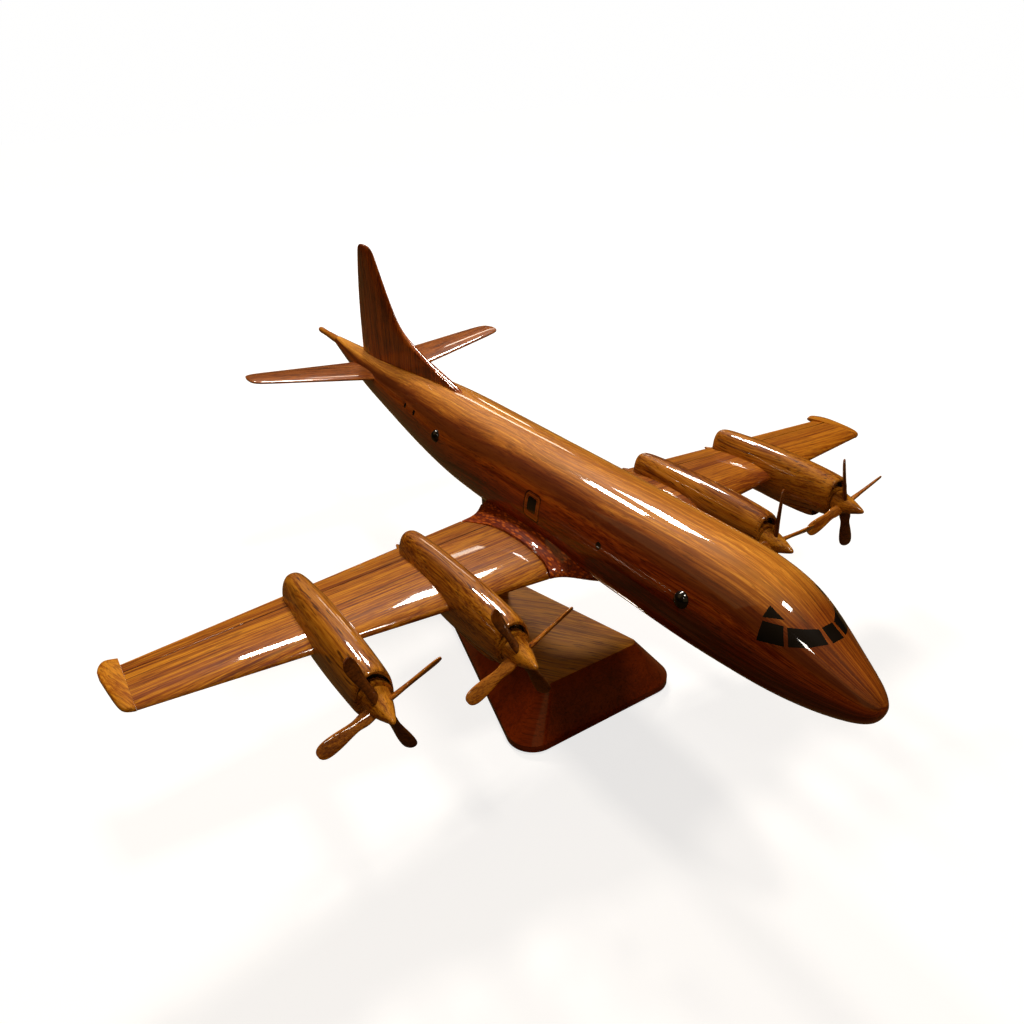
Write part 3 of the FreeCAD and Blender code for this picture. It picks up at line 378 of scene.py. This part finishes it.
# ------------------------------------------------------------------ other materials
def gloss_black():
    material = bpy.data.materials.new("black_inlay")
    tree = Tree(material)
    noise = tree.speckle(300, detail=3.0, rough=0.6)
    colour = tree.ramp(noise, [(0.3, (0.002, 0.002, 0.002)), (0.7, (0.004, 0.003, 0.003))])
    tree.surface(colour, rough=0.4, coat=1.0, coat_rough=0.03, height=noise,
                 strength=0.05, distance=0.00003, specular=0.05)
    return material


def metal(name, tone, rough):
    material = bpy.data.materials.new(name)
    tree = Tree(material)
    noise = tree.speckle(900, detail=3.0, rough=0.6)
    colour = tree.ramp(noise, [(0.3, tuple(channel * 0.8 for channel in tone)), (0.7, tone)])
    tree.surface(colour, rough=tree.ramp(noise, [(0.3, rough * 0.8), (0.7, rough * 1.3)]),
                 coat=0.0, coat_rough=0.1, height=noise, strength=0.1, distance=0.00005,
                 metallic=1.0)
    return material


def felt():
    material = bpy.data.materials.new("felt")
    tree = Tree(material)
    noise = tree.speckle(2500, detail=4.0, rough=0.7)
    colour = tree.ramp(noise, [(0.3, (0.012, 0.030, 0.016)), (0.7, (0.035, 0.075, 0.042))])
    tree.surface(colour, rough=0.95, coat=0.0, coat_rough=0.5, height=noise,
                 strength=0.6, distance=0.0004, specular=0.1)
    return material


# ------------------------------------------------------------------ finishes
def hub_centre(engine):
    """Centre x and z of an engine's hub plate."""
    hub = NODES["hub_plate_" + engine]
    corners = [hub.matrix_world @ Vector(corner) for corner in hub.bound_box]
    return sum(corner.x for corner in corners) / 8, sum(corner.z for corner in corners) / 8


# Name patterns of the pieces, and their material. Wood colours: dark, mid, light, streak.
FINISHES = {}
FINISHES["fuselage"] = wood(
    "lacquered_mahogany",
    (0.115, 0.012, 0.0005), (0.270, 0.050, 0.002), (0.410, 0.106, 0.006), (0.050, 0.005, 0.0003),
    hull=True, wide=1.15, line=0.80, fine=0.90, pore=0.60, veins=0.50, extra=crown)
FINISHES["hatch_panel*"] = wood(
    "hatch_wood",
    (0.10, 0.012, 0.0008), (0.22, 0.038, 0.002), (0.33, 0.075, 0.005), (0.04, 0.005, 0.0004),
    turn=ALONG_Y, seed=2.0, extra=hatch_rim_highlight)
FINISHES["fin"] = wood(
    "fin_wood",
    (0.120, 0.012, 0.0006), (0.300, 0.050, 0.002), (0.440, 0.100, 0.006), (0.045, 0.005, 0.0004),
    turn=ALONG_Z, seed=4.0)
FINISHES["stabiliser*"] = wood(
    "stabiliser_wood",
    (0.110, 0.015, 0.001), (0.260, 0.058, 0.003), (0.380, 0.105, 0.008), (0.05, 0.007, 0.0006),
    seed=5.0, wide=0.7)
FINISHES["wing_starboard"] = wood(
    "wing_wood_starboard",
    (0.200, 0.036, 0.0006), (0.410, 0.118, 0.0018), (0.620, 0.235, 0.008), (0.070, 0.010, 0.0003),
    turn=(0, 0, -0.05), seed=6.0, wave=0.35, wide=0.75, line=0.80, fine=1.15, veins=0.55,
    extra=wing_painted_shade, coat_rough=(0.035, 0.09), coat_grain=1.6)
FINISHES["wing_port"] = wood(
    "wing_wood_port",
    (0.150, 0.024, 0.0006), (0.310, 0.076, 0.0016), (0.520, 0.175, 0.007), (0.075, 0.010, 0.0003),
    turn=(0, 0, 0.05), seed=7.0, wave=0.6, wide=1.1, line=0.70, fine=0.9, pore=0.4, veins=0.35,
    extra=wing_painted_shade, coat_rough=(0.035, 0.09), coat_grain=1.2)
FINISHES["root_fairing*"] = wood(
    "fairing_wood",
    (0.130, 0.010, 0.0003), (0.225, 0.025, 0.0006), (0.330, 0.048, 0.0015), (0.070, 0.005, 0.0002),
    turn=ALONG_Y, wide=0.7, line=0.5, veins=0.3, fleck=0.85, fleck_tone=(0.680, 0.128, 0.003),
    seed=8.0)
FINISHES["nacelle*"] = wood(
    "nacelle_wood",
    (0.135, 0.026, 0.0010), (0.315, 0.090, 0.003), (0.480, 0.175, 0.010), (0.08, 0.014, 0.0008),
    turn=ALONG_Y, wide=0.8, line=0.7, fine=1.1, pore=0.85, pore_size=1.15, veins=0.45,
    seed=9.0, wave=1.6)
FINISHES["tail_boom"] = wood(
    "pale_wood",
    (0.300, 0.075, 0.002), (0.470, 0.140, 0.005), (0.600, 0.220, 0.016), (0.20, 0.05, 0.002),
    turn=ALONG_Y, wide=0.6, line=0.6, pore=0.3, veins=0.35, seed=10.0)
FINISHES["wing_tip*"] = wood(
    "wing_tip_wood",
    (0.280, 0.066, 0.0015), (0.460, 0.140, 0.004), (0.620, 0.235, 0.012), (0.17, 0.038, 0.001),
    turn=(0, 0, math.pi / 2 - 0.30), wide=0.5, line=0.9, fine=1.3, pore=0.45, veins=0.45,
    wave=1.6, scale=1.5, seed=16.0)
for engine in ("port_inboard", "port_outboard", "starboard_inboard", "starboard_outboard"):
    hub_x, hub_z = hub_centre(engine)
    FINISHES["propeller_blades_" + engine] = wood(
        "blade_wood_" + engine,
        (0.120, 0.021, 0.0008), (0.240, 0.060, 0.002), (0.360, 0.108, 0.006), (0.07, 0.012, 0.001),
        pore=0.4, seed=11.0 + hub_x * 20, scale=1.6, extra=blade_light_and_shade(hub_x, hub_z))
FINISHES["hub_plate*"] = wood(
    "hub_wood",
    (0.120, 0.021, 0.0008), (0.240, 0.058, 0.002), (0.350, 0.100, 0.006), (0.07, 0.012, 0.001),
    pore=0.4, seed=11.0, scale=1.6)
FINISHES["spinner*"] = wood(
    "spinner_wood",
    (0.240, 0.055, 0.002), (0.450, 0.145, 0.005), (0.610, 0.235, 0.015), (0.09, 0.016, 0.001),
    turn=ALONG_Y, pore=0.6, seed=12.0, scale=1.6)
FINISHES["stand_base"] = wood(
    "base_wood",
    (0.190, 0.048, 0.0015), (0.370, 0.118, 0.005), (0.520, 0.200, 0.012), (0.085, 0.020, 0.001),
    turn=(0, 0, 0.9), pore=0.7, pore_size=1.3, wide=0.7, line=0.9, veins=0.5, seed=13.0,
    scale=0.8, extra=base_shaded_sides)
FINISHES["stand_post"] = wood(
    "post_wood",
    (0.020, 0.003, 0.0004), (0.045, 0.008, 0.001), (0.085, 0.018, 0.002), (0.012, 0.002, 0.0003),
    turn=ALONG_Z, seed=14.0)
FINISHES["cockpit_pane* hatch_pane_* bubble* porthole* intake*"] = gloss_black()
FINISHES["propeller_pin* nose_bushes stand_pegs"] = metal("brass", (0.72, 0.50, 0.18), rough=0.28)
FINISHES["post_screws"] = metal("steel", (0.56, 0.56, 0.57), rough=0.32)
FINISHES["felt_pad"] = felt()
# everything left over
FINISHES["*"] = wood(
    "dowel_wood", (0.30, 0.17, 0.07), (0.48, 0.30, 0.14), (0.62, 0.42, 0.22), (0.3, 0.17, 0.08),
    pore=0.3, seed=15.0)

for name, piece in NODES.items():
    piece.data.materials.clear()
    piece.data.materials.append(next(
        material for patterns, material in FINISHES.items()
        if any(fnmatchcase(name, pattern) for pattern in patterns.split())))


# ------------------------------------------------------------------ exact skins, millimetres
# Hidden surfaces, used only for their surface directions.
def close_ring(points):
    """Control points of a closed cubic spline that passes close to the given points."""
    ring = [Vector(point) for point in points]
    count = len(ring)
    for _ in range(2):
        curve = [(ring[i - 1] + ring[i] * 4 + ring[(i + 1) % count]) / 6 for i in range(count)]
        ring = [ring[i] + (Vector(points[i]) - curve[i]) * 0.8 for i in range(count)]
    return ring


def spline_weights(count, degree, places):
    """Weights of a clamped even-knot spline with count control rows, at each place."""
    def share(part, whole, weight):
        return part / whole * weight if whole > 0 else 0.0

    spans = count - degree
    knots = [0.0] * degree + [float(i) for i in range(spans + 1)] + [float(spans)] * degree
    rows = []
    for place in range(places):
        at = min(spans * place / (places - 1), spans - 1e-9)
        row = [1.0 if knots[i] <= at < knots[i + 1] else 0.0 for i in range(len(knots) - 1)]
        for step in range(1, degree + 1):
            row = [
                share(at - knots[i], knots[i + step] - knots[i], row[i])
                + share(knots[i + step + 1] - at, knots[i + step + 1] - knots[i + 1], row[i + 1])
                for i in range(len(knots) - 1 - step)
            ]
        rows.append(row)
    return rows


def skin(name, rings, rows, per_point):
    """Finely divided surface through rings: rows along it, per_point steps per ring point."""
    count = len(rings[0])
    degree = 3 if len(rings) > 3 else 1
    verts = []
    for weights in spline_weights(len(rings), degree, rows):
        row = [sum((ring[j] * weight for ring, weight in zip(rings, weights) if weight > 1e-12),
                   Vector((0, 0, 0))) for j in range(count)]
        for j in range(count):
            before, start, end, after = (row[(j + i) % count] for i in (-1, 0, 1, 2))
            for step in range(per_point):
                at = step / per_point
                verts.append((before * (1 - at) ** 3 + start * (3 * at ** 3 - 6 * at * at + 4)
                              + end * (-3 * at ** 3 + 3 * at * at + 3 * at + 1)
                              + after * at ** 3) / 6)
    around = count * per_point
    faces = [(i * around + j, i * around + (j + 1) % around,
              (i + 1) * around + (j + 1) % around, (i + 1) * around + j)
             for i in range(rows - 1) for j in range(around)]
    mesh = bpy.data.meshes.new(name)
    mesh.from_pydata([vert * 0.001 for vert in verts], [], faces)
    mesh.update()
    bm = bmesh.new()
    bm.from_mesh(mesh)
    bmesh.ops.recalc_face_normals(bm, faces=bm.faces)
    bm.to_mesh(mesh)
    bm.free()
    for face in mesh.polygons:
        face.use_smooth = True
    surface = bpy.data.objects.new(name, mesh)
    scene.collection.objects.link(surface)
    surface.hide_render = True
    return surface


def shade_from(source, target, reach):
    """Give a piece the surface directions of a skin lying within reach (metres)."""
    transfer = NODES[target].modifiers.new("skin_directions", "DATA_TRANSFER")
    transfer.object = source
    transfer.use_loop_data = True
    transfer.data_types_loops = {"CUSTOM_NORMAL"}
    transfer.loop_mapping = "POLYINTERP_NEAREST"
    transfer.use_max_distance = True
    transfer.max_distance = reach


def body_point(x, y, z):
    return Vector((x, y - BODY_Y, z + AXIS_Z))


def hull_ring(back, half, top, bottom, count=40):
    angles = [2 * math.pi * i / count for i in range(count)]
    return close_ring([
        body_point(half * math.cos(angle), back,
                   (top + bottom) / 2 + (top - bottom) / 2 * math.sin(angle))
        for angle in angles])


def foil_ring(x, z, lead, trail, thick, upper, steps=16, blunt=0.35):
    """Wing section from trailing edge over the top to the leading edge and back below.
    upper: share of the thickness above the chord; blunt: height of the trailing edge."""
    peak = 0.3849    # greatest value of sqrt(q) * (1 - q)
    chord = [(0.5 * (1 + math.cos(math.pi * i / steps)), 1) for i in range(steps + 1)]
    chord += [(0.5 * (1 - math.cos(math.pi * i / steps)), -1) for i in range(1, steps)]
    points = []
    for along, side in chord:
        bulge = math.sqrt(along) * (1 - along) / peak
        share = upper if side > 0 else 1 - upper
        height = side * (share * thick * bulge + (blunt / 2) * along)
        points.append(body_point(x, lead + (trail - lead) * along, z + height))
    return close_ring(points)


def wing_ring(x):
    out = (x - WING_ROOT_X) / (WING_TIP_X - WING_ROOT_X)
    return foil_ring(x, WING_Z, lead=143.2 + 0.100 * x, trail=221.7 - 0.123 * x,
                     thick=9.4 - 5.2 * out, upper=0.62)


def stab_ring(x, lead=None, trail=None, thick=None):
    """Stabiliser section; edges and thickness follow the straight taper unless given."""
    out = (x - STAB_ROOT_X) / (STAB_TIP_X - STAB_ROOT_X)
    if lead is None:
        lead, trail, thick = 368.5 + 8.2 * out, 411.5 - 14.5 * out, 4.2 - 1.5 * out
    return foil_ring(x, 11.0 + 11.5 * out, lead, trail, thick, upper=0.5)


def mirrored(rings):
    return [[Vector((-point.x, point.y, point.z)) for point in ring] for ring in rings]


hull_rings = [hull_ring(*station) for station in HULL_STATIONS]
shade_from(skin("skin_hull", hull_rings, rows=420, per_point=5), "fuselage", reach=0.00025)

wing_rings = [wing_ring(WING_INNER_X), wing_ring(WING_TIP_X)]
stab_rings = [stab_ring(x) for x in STAB_STATIONS] + [stab_ring(*row) for row in STAB_END]
for side in ("port", "starboard"):
    if side == "starboard":
        wing_rings, stab_rings = mirrored(wing_rings), mirrored(stab_rings)
    wing_skin = skin("skin_wing_" + side, wing_rings, rows=60, per_point=8)
    shade_from(wing_skin, "wing_" + side, reach=0.00018)
    stab_skin = skin("skin_stab_" + side, stab_rings, rows=160, per_point=6)
    shade_from(stab_skin, "stabiliser_" + side, reach=0.00018)


# ------------------------------------------------------------------ floor
def floor_material():
    """Pale to the eye, dim to the lacquer so that the undersides stay dark."""
    material = bpy.data.materials.new("floor")
    tree = Tree(material)
    # the far floor fades into the backdrop
    far = tree.new("ShaderNodeVectorMath", {0: tree.position()}, operation="LENGTH")
    glow = tree.ramp(tree.mul(far.outputs["Value"], 0.5), [(0.25, 0.76), (0.75, 1.0)])
    pale = tree.new("ShaderNodeBsdfDiffuse", {"Color": (0.34, 0.337, 0.334)})
    light = tree.new("ShaderNodeEmission", {"Color": (1.0, 0.995, 0.99), "Strength": glow})
    seen = tree.new("ShaderNodeAddShader", {0: pale.outputs[0], 1: light.outputs[0]})
    dim = tree.new("ShaderNodeBsdfDiffuse", {"Color": (0.085, 0.050, 0.018)})
    to_eye = tree.new("ShaderNodeLightPath").outputs["Is Camera Ray"]
    tree.finish(tree.mix_shaders(to_eye, dim, seen))
    return material


def floor(reach=6.0, z=-0.0006):
    bm = bmesh.new()
    corners = ((-reach, -reach), (reach, -reach), (reach, reach), (-reach, reach))
    bm.faces.new([bm.verts.new((x, y, z)) for x, y in corners])
    mesh = bpy.data.meshes.new("floor")
    bm.to_mesh(mesh)
    bm.free()
    sheet = bpy.data.objects.new("floor", mesh)
    scene.collection.objects.link(sheet)
    mesh.materials.append(floor_material())


floor()


# ------------------------------------------------------------------ world
def studio():
    """White to the eye; the model is lit by a dim warm room, graded with height."""
    world = bpy.data.worlds.new("studio")
    tree = Tree(world, "ShaderNodeOutputWorld")
    incoming = tree.split(tree.new("ShaderNodeNewGeometry").outputs["Incoming"])
    room = tree.ramp(tree.calc("MULTIPLY_ADD", incoming[2], -0.5, 0.5), [
        (0.40, (0.006, 0.003, 0.001)), (0.56, (0.017, 0.008, 0.002)),
        (0.80, (0.066, 0.034, 0.007)), (1.0, (0.125, 0.066, 0.014))])
    dim = tree.new("ShaderNodeBackground", {0: room, 1: 1.0})
    white = tree.new("ShaderNodeBackground", {0: (1.0, 0.998, 0.995), 1: 1.0})
    to_eye = tree.new("ShaderNodeLightPath").outputs["Is Camera Ray"]
    tree.finish(tree.mix_shaders(to_eye, dim, white))
    scene.world = world


studio()

# ------------------------------------------------------------------ lamps
LAMP_TARGET = Vector((0, 0.0, 0.12))
WARM, AMBER, ORANGE = (1.0, 0.93, 0.84), (1.0, 0.86, 0.70), (1.0, 0.66, 0.26)
# Name, azimuth from +Y towards +X and elevation in degrees, distance, width,
# height (None for a square), power in watts, colour.
LAMPS = [
    ("ceiling_a", 5, 50, 1.8, 0.18, None, 11.0, WARM),
    ("ceiling_b", 28, 49, 1.8, 0.24, None, 17.0, WARM),
    ("window_c", 30, 25, 2.0, 0.50, 0.08, 0.8, AMBER),
    ("window_d", 36, 13, 2.0, 0.16, 0.08, 0.3, AMBER),
    ("front_e", -143, 45, 1.6, 0.10, None, 1.2, WARM),
    ("overhead_f", 170, 72, 1.5, 0.18, None, 8.0, WARM),
    ("soft_side", -60, 50, 1.8, 1.2, None, 1.7, ORANGE),
    ("soft_front", -160, 25, 1.9, 1.4, None, 1.3, ORANGE),
]


def lamp(name, azimuth, elevation, distance, width, height, power, colour):
    """Area lamp aimed at the model."""
    turn, rise = math.radians(azimuth), math.radians(elevation)
    outward = Vector((math.sin(turn) * math.cos(rise), math.cos(turn) * math.cos(rise),
                      math.sin(rise)))
    data = bpy.data.lights.new(name, "AREA")
    data.shape = "RECTANGLE" if height else "SQUARE"
    data.size = width
    if height:
        data.size_y = height
    data.energy = power
    data.color = colour
    holder = bpy.data.objects.new(name, data)
    holder.location = LAMP_TARGET + outward * distance
    aim = LAMP_TARGET - (LAMP_TARGET + outward * distance)
    holder.rotation_euler = aim.to_track_quat("-Z", "Y").to_euler()
    scene.collection.objects.link(holder)


for row in LAMPS:
    lamp(*row)

# ------------------------------------------------------------------ camera
# Eye and aim in the body frame, metres; roll in radians.
EYE = (-0.21080510, -0.10537660, 0.18270924)
AIM = (0.0, 0.23074962, -0.04601106)
ROLL = -0.03930141


def camera():
    data = bpy.data.cameras.new("camera")
    data.sensor_width = 36.0
    data.sensor_fit = "HORIZONTAL"
    data.lens = 28.415
    data.shift_x, data.shift_y = 0.00113, 0.02213
    data.clip_start = 0.01
    holder = bpy.data.objects.new("camera", data)
    scene.collection.objects.link(holder)
    eye, aim = (Vector((x, y - BODY_Y / 1000, z + AXIS_Z / 1000)) for x, y, z in (EYE, AIM))
    ahead = (aim - eye).normalized()
    level = ahead.cross(Vector((0, 0, 1))).normalized()
    upright = level.cross(ahead)
    right = level * math.cos(ROLL) + upright * math.sin(ROLL)
    up = -level * math.sin(ROLL) + upright * math.cos(ROLL)
    rows = [(right[i], up[i], -ahead[i], eye[i]) for i in range(3)]
    holder.matrix_world = Matrix((*rows, (0, 0, 0, 1)))
    scene.camera = holder


camera()
scene.view_settings.view_transform = "Standard"
scene.view_settings.look = "None"
